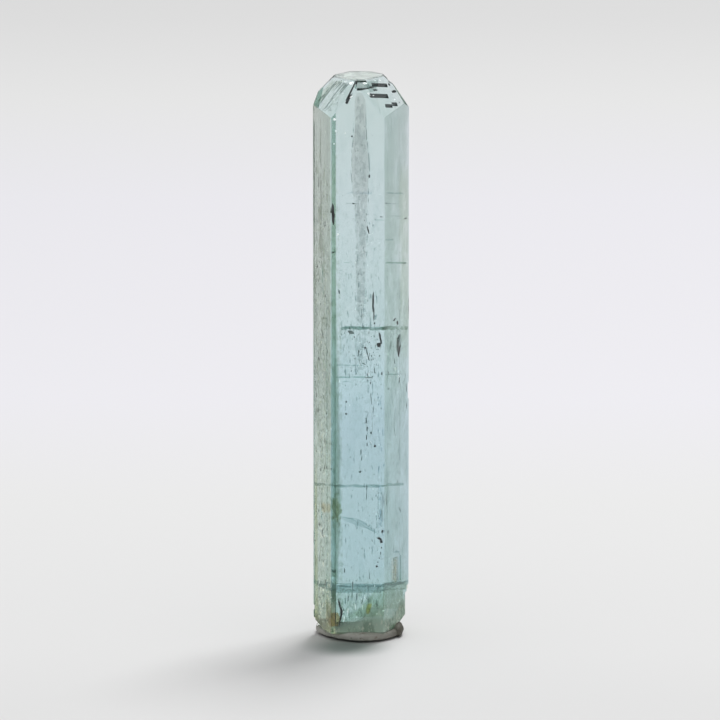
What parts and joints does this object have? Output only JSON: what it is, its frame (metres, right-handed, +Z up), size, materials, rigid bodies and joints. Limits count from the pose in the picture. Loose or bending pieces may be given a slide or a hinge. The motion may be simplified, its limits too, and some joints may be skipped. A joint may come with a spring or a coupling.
{
  "type": "aquamarine crystal",
  "caption": "Slender hexagonal prism of pale blue-green beryl with a stepped pyramid tip, standing on a pressed putty pad.",
  "frame": {"origin": "bottom centre of the bounding box, on the surface that the putty pad rests on", "axes": "+Z up along the crystal's length; the broad front prism face looks along -Y"},
  "size_m": [0.009, 0.0082, 0.0534],
  "materials": {
    "beryl": "clear, glossy growth faces with fine lengthwise striations",
    "putty": "matt, hand-pressed"
  },
  "bodies": {
    "root": {"aquamarine_crystal": "beryl", "putty_pad": "putty"}
  },
  "joints": []
}
